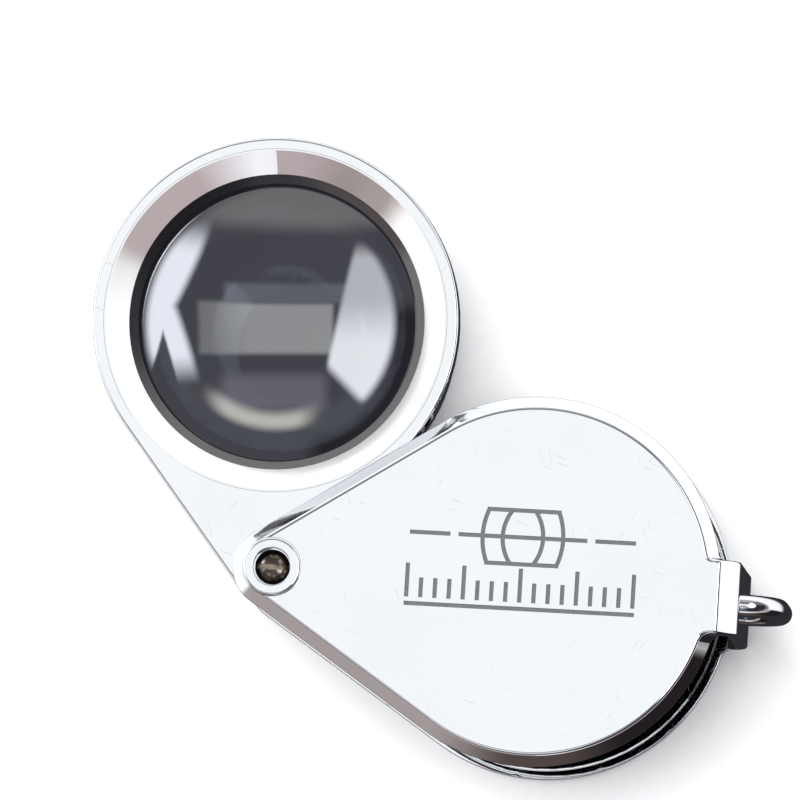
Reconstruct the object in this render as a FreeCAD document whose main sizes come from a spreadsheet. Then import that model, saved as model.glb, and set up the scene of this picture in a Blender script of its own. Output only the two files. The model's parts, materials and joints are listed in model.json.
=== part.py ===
import FreeCAD, Part
import math
import os
import re

import Sketcher

# Folding magnifier: a folded sheet cover, and a lens unit that swings out of it on one pivot.
# Row frame: +Z is normal to the cover plates, the origin is the centre of the cover's round end on
# its lower face, and +X runs from the pivot to the strap that joins the two plates.

DIMENSIONS = [
    # cover: one strip of sheet, folded into a U with two dished teardrop plates
    ("cover_height", 14.4, "over both plates"),
    ("cover_radius", 13.1, "round end of the plates"),
    ("cover_tip_radius", 2.85, "pivot end of the plates"),
    ("cover_reach", 18.6, "pivot axis to the centre of the round end"),
    ("sheet_thickness", 0.75, ""),
    ("lip_depth", 1.05, "outer face to the edge of the turned lip"),
    ("lip_bevel", 0.85, "width of the slanted outside of the lip"),
    ("lip_wall", 0.68, "thickness of the lip"),
    ("strap_width", 5.3, ""),
    ("strap_shift", 0.42, "the strap and bail sit this far to -Y of the middle"),
    ("strap_start", 13.0, "centre of the round end to the first crease"),
    ("strap_facet", 1.45, "width and depth of the slanted fold facet"),
    ("crease_radius", 0.3, "rounding of the fold creases"),
    ("pivot_hole_radius", 1.7, "in both plates"),
    # engraved mark on the upper plate
    ("mark_depth", 0.12, ""),
    ("mark_stroke", 0.28, ""),
    ("mark_x", -1.0, "middle of the mark along the plate"),
    ("scale_length", 16.0, "row of tick marks"),
    ("scale_y", -2.2, "base line of the ticks"),
    ("tick_long", 2.4, ""),
    ("tick_short", 1.4, ""),
    ("symbol_y", 3.0, "optical axis of the lens symbol"),
    ("symbol_height", 3.8, "of the drawn lens outlines"),
    ("symbol_outer_reach", 2.85, "middle of the symbol to its outer curves"),
    ("symbol_inner_reach", 1.43, "middle of the symbol to its inner curves"),
    ("symbol_outer_curve", 4.94, "radius"),
    ("symbol_inner_curve", 3.23, "radius"),
    ("axis_dash", 4.56, "half of the axis line's middle dash"),
    ("axis_break", 0.57, "gap between the dashes"),
    # bail: a U of wire with both legs riveted through the strap
    ("bail_wire_radius", 0.8, ""),
    ("bail_shift", 0.72, "the bail sits this far to -Y of the middle"),
    ("bail_spread", 3.95, "mid-height to the centre line of each leg"),
    ("bail_bend", 2.5, "radius of the wire's bends, on its centre line"),
    ("bail_rivet_radius", 1.15, ""),
    ("bail_rivet_height", 0.35, ""),
    # pivot
    ("post_radius", 1.35, ""),
    ("thread_radius", 0.8, ""),
    ("thread_depth", 5.0, ""),
    ("fit_gap", 0.02, "radial, between pieces of one body"),
    ("running_gap", 0.05, "radial, between the post and the bush"),
    ("cup_flange_radius", 2.1, ""),
    ("cup_flange_height", 0.3, ""),
    ("cup_wall", 0.3, ""),
    ("cup_edge_height", 0.13, "flange edge below its bevel"),
    ("cup_edge_bevel", 0.21, ""),
    ("cup_mouth_bevel", 0.12, "width and depth of the bevel inside the flange"),
    ("screw_head_radius", 1.3, ""),
    ("screw_head_height", 0.42, ""),
    ("screw_side_height", 0.21, "straight side of the head"),
    ("screw_crown_radius", 0.94, "where the head's side slopes off"),
    ("screw_crown_height", 0.35, ""),
    ("screw_point", 0.3, "bevel at the end of the shank"),
    ("screw_slot", 0.4, "width of the driver slot"),
    ("screw_slot_depth", 0.29, ""),
    ("screw_slot_overrun", 0.2, "drawn past the head on each side"),
    ("washer_radius", 2.12, ""),
    ("washer_slack", 0.03, "axial, so that nothing overlaps"),
    ("spring_strip", 0.15, "thickness of the dished spring washer"),
    # lens unit
    ("open_angle", 93.1, "lens unit swung out of the cover, degrees"),
    ("arm_reach", 17.6, "pivot axis to the optical axis"),
    ("frame_height", 12.0, ""),
    ("frame_radius", 13.0, "front rim"),
    ("frame_tip_radius", 2.8, ""),
    ("rim_height", 2.0, "thickness of the front rim"),
    ("rim_round", 0.22, ""),
    ("barrel_radius", 12.0, ""),
    ("barrel_tip_radius", 2.55, ""),
    ("frame_bore", 11.15, ""),
    ("bush_radius", 1.8, ""),
    ("bezel_radius", 12.2, "front bezel flange"),
    ("bezel_flange", 1.2, ""),
    ("bezel_lip", 0.12, "flat land at the outside of the bevel"),
    ("bezel_foot", 0.12, "land under the bevel, where the bezel meets the cell"),
    ("front_bevel", 1.3, "depth of the cone in the front bezel"),
    ("rear_bevel", 1.4, "depth of the cone in the rear bezel"),
    # optics
    ("glass_radius", 10.5, ""),
    ("clear_radius", 9.9, "opening of the cell"),
    ("shoulder_depth", 1.95, "frame face to the inner edge of the cell's shoulder"),
    ("shoulder_rise", 0.4, "height of the shoulder's cone"),
    ("outer_curve", 25.0, "radius of the outside glass surfaces"),
    ("inner_curve", 16.5, "radius of the cemented surfaces"),
    ("vertex_depth", 0.1, "frame face to the top of the glass"),
    ("centre_edge", 0.9, "edge thickness of the middle element"),
    ("cement", 0.01, "cement line between elements"),
    ("seat_gap", 0.02, "axial, glass to cell seat"),
    ("spanner_slot", 1.2, "width of the slots in the retaining ring"),
    ("spanner_overrun", 0.2, "drawn past the ring on each side"),
    ("spanner_depth", 0.2, ""),
]

TICKS = 17                  # tick marks in the engraved row
TICKS_PER_LONG = 4          # every fourth tick is long
TOUCH = 1e-6                # two places nearer than this are one place, in mm
FOLD = 45                   # degrees that the strap turns at each crease
STEP_FOLDER = "parts"

doc = FreeCAD.newDocument("folding_magnifier")
sheet = doc.addObject("Spreadsheet::Sheet", "dims")
for row, (alias, value, note) in enumerate(DIMENSIONS, start=1):
    sheet.set(f"A{row}", alias)
    sheet.set(f"B{row}", str(value))
    sheet.set(f"C{row}", note)
    sheet.setAlias(f"B{row}", alias)
doc.recompute()

SHEET_WORD = re.compile(r"\b(" + "|".join(alias for alias, _, _ in DIMENSIONS) + r")\b")


def bound(formula):
    """Turn a formula in sheet words into one that other objects of the document can use."""
    return SHEET_WORD.sub(r"dims.\1", formula)


def value_of(formula):
    """The number that a formula in sheet words gives now."""
    return float(sheet.evalExpression(formula))


# ---------------------------------------------------------------- bodies, sketches and features

def new_body(label):
    body = doc.addObject("PartDesign::Body", label)
    body.Label = label
    return body


def origin_plane(body, role):
    return next(item for item in body.Origin.OriginFeatures if item.Role == role)


def new_sketch(body, role, height="0"):
    """A sketch on an origin plane of its body, raised by height along the plane's normal."""
    sketch = body.newObject("Sketcher::SketchObject", f"{body.Name}_sketch")
    sketch.AttachmentSupport = [(origin_plane(body, role), "")]
    sketch.MapMode = "FlatFace"
    sketch.setExpression("AttachmentOffset.Base.z", bound(height))
    return sketch


def constrain(sketch, kind, *where, size=None):
    """Add a constraint; a size is a formula in sheet words and stays bound to the sheet."""
    if size is None:
        return sketch.addConstraint(Sketcher.Constraint(kind, *where))
    index = sketch.addConstraint(Sketcher.Constraint(kind, *where, value_of(size)))
    sketch.setExpression(f"Constraints[{index}]", bound(size))
    return index


def point(x, y):
    return FreeCAD.Vector(x, y, 0)


def draw_polygon(sketch, corners):
    """A closed outline whose corners are pairs of formulas."""
    places = [point(value_of(x), value_of(y)) for x, y in corners]
    first = len(sketch.Geometry)
    for index, place in enumerate(places):
        sketch.addGeometry(Part.LineSegment(place, places[(index + 1) % len(places)]), False)
    for index, (x, y) in enumerate(corners):
        line = first + index
        before = first + (index - 1) % len(corners)
        constrain(sketch, "Coincident", before, 2, line, 1)
        constrain(sketch, "DistanceX", -1, 1, line, 1, size=x)
        constrain(sketch, "DistanceY", -1, 1, line, 1, size=y)


def draw_circle(sketch, radius, x="0", y="0"):
    centre = point(value_of(x), value_of(y))
    circle = sketch.addGeometry(Part.Circle(centre, FreeCAD.Vector(0, 0, 1), value_of(radius)), False)
    constrain(sketch, "Radius", circle, size=radius)
    constrain(sketch, "DistanceX", -1, 1, circle, 3, size=x)
    constrain(sketch, "DistanceY", -1, 1, circle, 3, size=y)


def draw_teardrop(sketch, round_radius, tip_radius, reach):
    """Round end on the origin and pivot end at -X, joined by their common tangents."""
    big, small, span = value_of(round_radius), value_of(tip_radius), value_of(reach)
    slope = math.acos((big - small) / span)
    turn = math.pi - slope
    axis = FreeCAD.Vector(0, 0, 1)
    big_circle = Part.Circle(point(0, 0), axis, big)
    small_circle = Part.Circle(point(-span, 0), axis, small)
    touch = [point(math.cos(a), math.sin(a)) for a in (turn, -turn)]
    tip = point(-span, 0)
    round_end = sketch.addGeometry(Part.ArcOfCircle(big_circle, -turn, turn), False)
    tip_end = sketch.addGeometry(Part.ArcOfCircle(small_circle, turn, 2 * math.pi - turn), False)
    upper = sketch.addGeometry(Part.LineSegment(touch[0] * big, tip + touch[0] * small), False)
    lower = sketch.addGeometry(Part.LineSegment(tip + touch[1] * small, touch[1] * big), False)
    constrain(sketch, "Tangent", round_end, 2, upper, 1)
    constrain(sketch, "Tangent", upper, 2, tip_end, 1)
    constrain(sketch, "Tangent", tip_end, 2, lower, 1)
    constrain(sketch, "Tangent", lower, 2, round_end, 1)
    constrain(sketch, "Coincident", round_end, 3, -1, 1)
    constrain(sketch, "PointOnObject", tip_end, 3, -1)
    constrain(sketch, "DistanceX", tip_end, 3, -1, 1, size=reach)
    constrain(sketch, "Radius", round_end, size=round_radius)
    constrain(sketch, "Radius", tip_end, size=tip_radius)


def pad(body, sketch, length, reverse=False, both_sides=False):
    feature = body.newObject("PartDesign::Pad", f"{body.Name}_pad")
    feature.Profile = sketch
    feature.setExpression("Length", bound(length))
    feature.Reversed = reverse
    feature.Midplane = both_sides
    doc.recompute()
    return feature


def pocket(body, sketch, depth, reverse=False, both_sides=False):
    """Cut to a depth, and make sure that something was cut."""
    before = body.Shape.Volume
    feature = body.newObject("PartDesign::Pocket", f"{body.Name}_pocket")
    feature.Profile = sketch
    feature.setExpression("Length", bound(depth))
    feature.Reversed = reverse
    feature.Midplane = both_sides
    doc.recompute()
    if not body.Shape.Volume < before:
        raise RuntimeError(f"{feature.Name} cuts nothing")
    return feature


def revolve(body, corners):
    """A turned piece: the outline is (radius, height) pairs of formulas, turned about Z."""
    sketch = new_sketch(body, "XZ_Plane")
    draw_polygon(sketch, corners)
    return turn_about_z(body, sketch)


def turn_about_z(body, sketch):
    feature = body.newObject("PartDesign::Revolution", f"{body.Name}_revolution")
    feature.Profile = sketch
    feature.ReferenceAxis = (sketch, ["V_Axis"])
    feature.Angle = 360
    doc.recompute()
    return feature


def edges_where(feature, test):
    """Names of the feature's edges that pass the test."""
    return [f"Edge{n}" for n, edge in enumerate(feature.Shape.Edges, start=1) if test(edge)]


def level_edges(feature, height):
    """Edges that lie flat at a height."""
    def lies_there(edge):
        box = edge.BoundBox
        return abs(box.ZMin - height) < TOUCH and abs(box.ZMax - height) < TOUCH
    return edges_where(feature, lies_there)


def round_edges(feature, height, radius):
    """Arcs of a radius that lie flat at a height; what is tangent to them is softened with them."""
    def is_arc(edge):
        return hasattr(edge.Curve, "Radius") and abs(edge.Curve.Radius - radius) < TOUCH
    flat = level_edges(feature, height)
    return [name for name in flat if is_arc(feature.Shape.getElement(name))]


def soften(body, kind, base, edges, sizes):
    feature = body.newObject(f"PartDesign::{kind}", f"{body.Name}_{kind.lower()}")
    feature.Base = (base, edges)
    for name, formula in sizes.items():
        feature.setExpression(name, bound(formula))
    doc.recompute()
    return feature


def mirror_body(body, role):
    """Repeat everything made so far on the other side of an origin plane."""
    feature = body.newObject("PartDesign::Mirrored", f"{body.Name}_mirror")
    feature.TransformMode = "Whole shape"
    feature.MirrorPlane = (origin_plane(body, role), [""])
    body.Tip = feature
    doc.recompute()
    return feature


# ---------------------------------------------------------------- where the pieces go

def place_on_cover(body, at_pivot=False):
    """The piece's own frame is at mid-height, on the round end's axis or on the pivot axis."""
    body.setExpression("Placement.Base.x", bound("- cover_reach") if at_pivot else "0")
    body.setExpression("Placement.Base.z", bound("cover_height / 2"))


def place_on_lens_unit(body):
    """The piece's own frame is at mid-height on the optical axis, with the pivot towards its -X."""
    body.Placement.Rotation = FreeCAD.Rotation(FreeCAD.Vector(0, 0, 1), 1)
    body.setExpression("Placement.Rotation.Angle", bound("open_angle"))
    body.setExpression("Placement.Base.x", bound("arm_reach * cos(open_angle) - cover_reach"))
    body.setExpression("Placement.Base.y", bound("arm_reach * sin(open_angle)"))
    body.setExpression("Placement.Base.z", bound("cover_height / 2"))


# ---------------------------------------------------------------- cover

def make_cover_shell():
    """Upper half of the folded sheet, mirrored to the lower half, then the engraved mark."""
    body = new_body("cover_shell")
    rim = "cover_height / 2 - lip_depth"
    outline = new_sketch(body, "XY_Plane", rim)
    draw_teardrop(outline, "cover_radius", "cover_tip_radius", "cover_reach")
    plate = pad(body, outline, "lip_depth")
    top = value_of("cover_height / 2")
    bevel = body.newObject("PartDesign::Chamfer", "cover_bevel")
    bevel.Base = (plate, level_edges(plate, top))
    bevel.ChamferType = "Two distances"
    bevel.setExpression("Size", bound("lip_bevel"))
    bevel.setExpression("Size2", bound("lip_bevel"))
    doc.recompute()

    dish = new_sketch(body, "XY_Plane", rim)
    draw_teardrop(dish, "cover_radius - lip_wall", "cover_tip_radius - lip_wall", "cover_reach")
    pocket(body, dish, "lip_depth - sheet_thickness", reverse=True)

    add_strap_half(body)
    hole = new_sketch(body, "XY_Plane", "cover_height / 2")
    draw_circle(hole, "pivot_hole_radius", "- cover_reach")
    pocket(body, hole, "sheet_thickness * 2")
    leg_hole = new_sketch(body, "YZ_Plane", "strap_start + strap_facet")
    draw_circle(leg_hole, "bail_wire_radius + fit_gap", "- bail_shift", "bail_spread")
    pocket(body, leg_hole, "sheet_thickness * 2")

    mirror_body(body, "XY_Plane")
    engrave_scale(body)
    engrave_lens_symbol(body)
    place_on_cover(body)
    return body


def add_strap_half(body):
    """The strap from the plate over the slanted fold facet and down to mid-height."""
    inset = f"sheet_thickness * tan({FOLD / 2})"
    profile = new_sketch(body, "XZ_Plane", "strap_shift")
    draw_polygon(profile, [
        ("strap_start - lip_bevel * 2", "cover_height / 2"),
        ("strap_start", "cover_height / 2"),
        ("strap_start + strap_facet", "cover_height / 2 - strap_facet"),
        ("strap_start + strap_facet", "0"),
        ("strap_start + strap_facet - sheet_thickness", "0"),
        ("strap_start + strap_facet - sheet_thickness", f"cover_height / 2 - strap_facet - {inset}"),
        (f"strap_start - {inset}", "cover_height / 2 - sheet_thickness"),
        ("strap_start - lip_bevel * 2", "cover_height / 2 - sheet_thickness"),
    ])
    strap = pad(body, profile, "strap_width", both_sides=True)
    width = value_of("strap_width")
    shift = value_of("strap_shift")
    first = value_of("strap_start")
    last = value_of("strap_start + strap_facet")

    def is_crease(edge):
        middle = edge.CenterOfMass
        spans_strap = abs(edge.Length - width) < TOUCH and abs(middle.y + shift) < TOUCH
        outside = abs(middle.x - first) < TOUCH or abs(middle.x - last) < TOUCH
        return spans_strap and outside and middle.z > TOUCH
    soften(body, "Fillet", strap, edges_where(strap, is_crease), {"Radius": "crease_radius"})


def engrave_scale(body):
    """A row of plain tick marks, every fourth one long, over a base line."""
    sketch = new_sketch(body, "XY_Plane", "cover_height / 2")
    left = "mark_x - scale_length / 2"
    half = "mark_stroke / 2"
    for tick in range(TICKS):
        size = "tick_short" if tick % TICKS_PER_LONG else "tick_long"
        middle = f"{left} + scale_length * {tick / (TICKS - 1)}"
        draw_polygon(sketch, [
            (f"{middle} - {half}", "scale_y + mark_stroke * 2"),
            (f"{middle} + {half}", "scale_y + mark_stroke * 2"),
            (f"{middle} + {half}", f"scale_y + mark_stroke * 2 + {size}"),
            (f"{middle} - {half}", f"scale_y + mark_stroke * 2 + {size}"),
        ])
    draw_polygon(sketch, [
        (f"{left} - {half}", "scale_y"),
        (f"{left} + scale_length + {half}", "scale_y"),
        (f"{left} + scale_length + {half}", "scale_y + mark_stroke"),
        (f"{left} - {half}", "scale_y + mark_stroke"),
    ])
    pocket(body, sketch, "mark_depth")


def draw_arc_stroke(sketch, reach, radius, side):
    """A thin curved stroke of the lens symbol; side is +1 or -1, and it bulges to that side."""
    half_stroke = value_of("mark_stroke / 2")
    curve = value_of(radius)
    centre = point(value_of("mark_x") + side * (value_of(reach) - curve), value_of("symbol_y"))
    spread = math.asin(value_of("symbol_height / 2") / curve)
    middle = 0 if side > 0 else math.pi
    rims = []
    for size in (curve + half_stroke, curve - half_stroke):
        circle = Part.Circle(centre, FreeCAD.Vector(0, 0, 1), size)
        sketch.addGeometry(Part.ArcOfCircle(circle, middle - spread, middle + spread), False)
        rims.append([
            centre + point(size * math.cos(middle + a), size * math.sin(middle + a))
            for a in (-spread, spread)
        ])
    for start, end in zip(*rims):
        sketch.addGeometry(Part.LineSegment(start, end), False)


def engrave_lens_symbol(body):
    """Four curved surfaces of a cemented lens in section, its edges, and its optical axis."""
    curves = new_sketch(body, "XY_Plane", "cover_height / 2")
    for side in (-1, 1):
        draw_arc_stroke(curves, "symbol_outer_reach", "symbol_outer_curve", side)
        draw_arc_stroke(curves, "symbol_inner_reach", "symbol_inner_curve", side)
    pocket(body, curves, "mark_depth")

    sag = "( symbol_outer_curve - sqrt(symbol_outer_curve ^ 2 - symbol_height ^ 2 / 4) )"
    edge = f"( symbol_outer_reach - {sag} + mark_stroke / 2 )"
    rows = [
        (f"- {edge}", edge, "symbol_height / 2"),
        (f"- {edge}", edge, "- symbol_height / 2"),
        ("- scale_length / 2", "- axis_dash - axis_break", "0"),
        ("- axis_dash", "axis_dash", "0"),
        ("axis_dash + axis_break", "scale_length / 2", "0"),
    ]
    lines = new_sketch(body, "XY_Plane", "cover_height / 2")
    for left, right, offset in rows:
        low = f"symbol_y + {offset} - mark_stroke / 2"
        high = f"symbol_y + {offset} + mark_stroke / 2"
        draw_polygon(lines, [
            (f"mark_x + {left}", low),
            (f"mark_x + {right}", low),
            (f"mark_x + {right}", high),
            (f"mark_x + {left}", high),
        ])
    pocket(body, lines, "mark_depth")


def make_bail():
    """A U of wire whose legs run through the strap and end in rivet heads inside it."""
    body = new_body("bail")
    face = "strap_start + strap_facet"
    inside = "strap_start + strap_facet - sheet_thickness"
    section = new_sketch(body, "YZ_Plane", inside)
    draw_circle(section, "bail_wire_radius", "- bail_shift", "bail_spread")
    path = new_sketch(body, "XZ_Plane", "bail_shift")
    spread, bend = value_of("bail_spread"), value_of("bail_bend")
    start, turn = value_of(inside), value_of(face)
    straight = spread - bend
    path.addGeometry(Part.LineSegment(point(start, spread), point(turn, spread)), False)
    upper = Part.Circle(point(turn, straight), FreeCAD.Vector(0, 0, 1), bend)
    path.addGeometry(Part.ArcOfCircle(upper, 0, math.pi / 2), False)
    path.addGeometry(
        Part.LineSegment(point(turn + bend, straight), point(turn + bend, -straight)), False)
    lower = Part.Circle(point(turn, -straight), FreeCAD.Vector(0, 0, 1), bend)
    path.addGeometry(Part.ArcOfCircle(lower, -math.pi / 2, 0), False)
    path.addGeometry(Part.LineSegment(point(turn, -spread), point(start, -spread)), False)
    constrain(path, "Tangent", 0, 2, 1, 2)
    constrain(path, "Tangent", 1, 1, 2, 1)
    constrain(path, "Tangent", 2, 2, 3, 2)
    constrain(path, "Tangent", 3, 1, 4, 1)
    constrain(path, "DistanceX", -1, 1, 0, 1, size=inside)
    constrain(path, "DistanceY", -1, 1, 0, 1, size="bail_spread")
    constrain(path, "DistanceX", -1, 1, 1, 3, size=face)
    constrain(path, "Radius", 1, size="bail_bend")
    constrain(path, "Symmetric", 1, 3, 3, 3, -1)
    constrain(path, "Vertical", 0, 1, 4, 2)
    doc.recompute()
    wire = body.newObject("PartDesign::AdditivePipe", "bail_wire")
    wire.Profile = section
    wire.Spine = (path, [f"Edge{n + 1}" for n in range(len(path.Geometry))])
    doc.recompute()
    for end in ("bail_spread", "- bail_spread"):
        rivet = new_sketch(body, "YZ_Plane", inside)
        draw_circle(rivet, "bail_rivet_radius", "- bail_shift", end)
        pad(body, rivet, "bail_rivet_height", reverse=True)
    place_on_cover(body)
    return body


# ---------------------------------------------------------------- pivot

INNER_FACE = "cover_height / 2 - sheet_thickness"
OUTER_FACE = "cover_height / 2"
FRAME_FACE = "frame_height / 2"


def make_pivot_post():
    """Shouldered post, its head flush in the lower plate, threaded from above for the screw."""
    body = new_body("pivot_post")
    revolve(body, [
        ("0", "- cover_height / 2"),
        ("pivot_hole_radius - fit_gap", "- cover_height / 2"),
        ("pivot_hole_radius - fit_gap", f"- ( {INNER_FACE} )"),
        ("post_radius", f"- ( {INNER_FACE} )"),
        ("post_radius", INNER_FACE),
        ("thread_radius", INNER_FACE),
        ("thread_radius", f"{INNER_FACE} - thread_depth"),
        ("0", f"{INNER_FACE} - thread_depth - thread_radius / 2"),
    ])
    place_on_cover(body, at_pivot=True)
    return body


def make_pivot_cup():
    """Flanged cup in the upper plate's hole; the screw head sits in it."""
    body = new_body("pivot_cup")
    outside = "pivot_hole_radius - fit_gap"
    revolve(body, [
        ("thread_radius + fit_gap", INNER_FACE),
        (outside, INNER_FACE),
        (outside, OUTER_FACE),
        ("cup_flange_radius", OUTER_FACE),
        ("cup_flange_radius", f"{OUTER_FACE} + cup_edge_height"),
        ("cup_flange_radius - cup_edge_bevel", f"{OUTER_FACE} + cup_flange_height"),
        (f"{outside} - cup_wall + cup_mouth_bevel", f"{OUTER_FACE} + cup_flange_height"),
        (f"{outside} - cup_wall", f"{OUTER_FACE} + cup_flange_height - cup_mouth_bevel"),
        (f"{outside} - cup_wall", f"{INNER_FACE} + cup_wall"),
        ("thread_radius + fit_gap", f"{INNER_FACE} + cup_wall"),
    ])
    place_on_cover(body, at_pivot=True)
    return body


def make_pivot_screw():
    """Slotted screw with a low domed head, down into the post."""
    body = new_body("pivot_screw")
    seat = f"{INNER_FACE} + cup_wall"
    head = f"{seat} + screw_head_height"
    shank = "thread_radius - fit_gap"
    revolve(body, [
        ("0", f"{INNER_FACE} - thread_depth + thread_radius"),
        (f"{shank} - screw_point", f"{INNER_FACE} - thread_depth + thread_radius"),
        (shank, f"{INNER_FACE} - thread_depth + thread_radius + screw_point"),
        (shank, seat),
        ("screw_head_radius", seat),
        ("screw_head_radius", f"{seat} + screw_side_height"),
        ("screw_crown_radius", f"{seat} + screw_crown_height"),
        ("0", head),
    ])
    slot = new_sketch(body, "XY_Plane", head)
    draw_polygon(slot, [
        ("- screw_head_radius - screw_slot_overrun", "- screw_slot / 2"),
        ("screw_head_radius + screw_slot_overrun", "- screw_slot / 2"),
        ("screw_head_radius + screw_slot_overrun", "screw_slot / 2"),
        ("- screw_head_radius - screw_slot_overrun", "screw_slot / 2"),
    ])
    pocket(body, slot, "screw_slot_depth")
    place_on_cover(body, at_pivot=True)
    return body


def make_spring_washer():
    """Dished washer that presses the lens unit down, so that it stays where it is turned."""
    body = new_body("spring_washer")
    inner = "post_radius + running_gap"
    top = f"{INNER_FACE} - washer_slack"
    bottom = f"{FRAME_FACE} + washer_slack"
    revolve(body, [
        (inner, top),
        (inner, f"{top} - spring_strip"),
        ("washer_radius", bottom),
        ("washer_radius", f"{bottom} + spring_strip"),
    ])
    place_on_cover(body, at_pivot=True)
    return body


def make_thrust_washer():
    """Flat washer between the lower plate and the lens unit."""
    body = new_body("thrust_washer")
    inner = "post_radius + running_gap"
    revolve(body, [
        (inner, f"- ( {INNER_FACE} )"),
        ("washer_radius", f"- ( {INNER_FACE} )"),
        ("washer_radius", f"- ( {FRAME_FACE} ) - washer_slack"),
        (inner, f"- ( {FRAME_FACE} ) - washer_slack"),
    ])
    place_on_cover(body, at_pivot=True)
    return body


# ---------------------------------------------------------------- lens unit

def make_lens_frame():
    """Teardrop body with a wider front rim, bored for the lens cell, the bezels and the bush."""
    body = new_body("lens_frame")
    barrel = new_sketch(body, "XY_Plane", f"- {FRAME_FACE}")
    draw_teardrop(barrel, "barrel_radius", "barrel_tip_radius", "arm_reach")
    pad(body, barrel, "frame_height - rim_height / 2")
    rim = new_sketch(body, "XY_Plane", f"{FRAME_FACE} - rim_height")
    draw_teardrop(rim, "frame_radius", "frame_tip_radius", "arm_reach")
    rim_pad = pad(body, rim, "rim_height")
    half = value_of(FRAME_FACE)
    under_rim = value_of(f"{FRAME_FACE} - rim_height")
    rim_radius = value_of("frame_radius")
    outer = round_edges(rim_pad, half, rim_radius) + round_edges(rim_pad, under_rim, rim_radius)
    outer += round_edges(rim_pad, -half, value_of("barrel_radius"))
    soften(body, "Fillet", rim_pad, outer, {"Radius": "rim_round"})
    for radius, height, depth in (
        ("bezel_radius", FRAME_FACE, "bezel_flange"),
        ("frame_bore", FRAME_FACE, "frame_height"),
    ):
        bore = new_sketch(body, "XY_Plane", height)
        draw_circle(bore, radius)
        pocket(body, bore, depth)
    pivot_bore = new_sketch(body, "XY_Plane", FRAME_FACE)
    draw_circle(pivot_bore, "bush_radius", "- arm_reach")
    pocket(body, pivot_bore, "frame_height")
    place_on_lens_unit(body)
    return body


def make_pivot_bush():
    """Bearing sleeve pressed into the arm, running on the pivot post."""
    body = new_body("pivot_bush")
    length = new_sketch(body, "XY_Plane", f"- {FRAME_FACE}")
    draw_circle(length, "bush_radius - fit_gap", "- arm_reach")
    draw_circle(length, "post_radius + running_gap", "- arm_reach")
    pad(body, length, "frame_height")
    place_on_lens_unit(body)
    return body


def make_front_bezel():
    """Flanged ring whose conical inside leads down to the lens; it clamps the cell."""
    body = new_body("front_bezel")
    rim = "bezel_radius - fit_gap"
    skirt = "frame_bore - fit_gap"
    flange = f"{FRAME_FACE} - bezel_flange"
    foot = f"{FRAME_FACE} - front_bevel - bezel_foot"
    revolve(body, [
        ("glass_radius", f"{FRAME_FACE} - front_bevel"),
        (f"{rim} - bezel_lip", FRAME_FACE),
        (rim, FRAME_FACE),
        (rim, flange),
        (skirt, flange),
        (skirt, foot),
        ("glass_radius", foot),
    ])
    place_on_lens_unit(body)
    return body


def make_rear_bezel():
    """Threaded ring with a conical inside that closes the back of the bore."""
    body = new_body("rear_bezel")
    skirt = "frame_bore - fit_gap"
    foot = f"- ( {FRAME_FACE} - rear_bevel - bezel_foot )"
    revolve(body, [
        ("glass_radius", f"- ( {FRAME_FACE} - rear_bevel )"),
        (f"{skirt} - bezel_lip", f"- ( {FRAME_FACE} )"),
        (skirt, f"- ( {FRAME_FACE} )"),
        (skirt, foot),
        ("glass_radius", foot),
    ])
    place_on_lens_unit(body)
    return body


GLASS_SAG = "( outer_curve - sqrt(outer_curve ^ 2 - clear_radius ^ 2) )"
GLASS_SEAT = f"{FRAME_FACE} - vertex_depth - {GLASS_SAG} + seat_gap"


def make_lens_cell():
    """Black tube that holds the three cemented elements against a shoulder near its front."""
    body = new_body("lens_cell")
    outside = "frame_bore - fit_gap"
    front = f"{FRAME_FACE} - front_bevel - bezel_foot"
    back = f"- ( {FRAME_FACE} - rear_bevel - bezel_foot )"
    shoulder = f"{FRAME_FACE} - shoulder_depth"
    revolve(body, [
        ("clear_radius", GLASS_SEAT),
        ("clear_radius", shoulder),
        ("glass_radius", f"{shoulder} + shoulder_rise"),
        ("glass_radius", front),
        (outside, front),
        (outside, back),
        ("glass_radius + fit_gap", back),
        ("glass_radius + fit_gap", GLASS_SEAT),
    ])
    place_on_lens_unit(body)
    return body


def make_retaining_ring():
    """Black threaded ring behind the rear element, with two slots for a spanner."""
    body = new_body("retaining_ring")
    back = f"- ( {FRAME_FACE} - rear_bevel - bezel_foot )"
    revolve(body, [
        ("clear_radius", f"- ( {GLASS_SEAT} )"),
        ("clear_radius", back),
        ("glass_radius", back),
        ("glass_radius", f"- ( {GLASS_SEAT} )"),
    ])
    slots = new_sketch(body, "XY_Plane", back)
    for side in ("", "- "):
        draw_polygon(slots, [
            (f"{side}( clear_radius - spanner_overrun )", "- spanner_slot / 2"),
            (f"{side}( glass_radius + spanner_overrun )", "- spanner_slot / 2"),
            (f"{side}( glass_radius + spanner_overrun )", "spanner_slot / 2"),
            (f"{side}( clear_radius - spanner_overrun )", "spanner_slot / 2"),
        ])
    pocket(body, slots, "spanner_depth", reverse=True)
    place_on_lens_unit(body)
    return body


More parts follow.
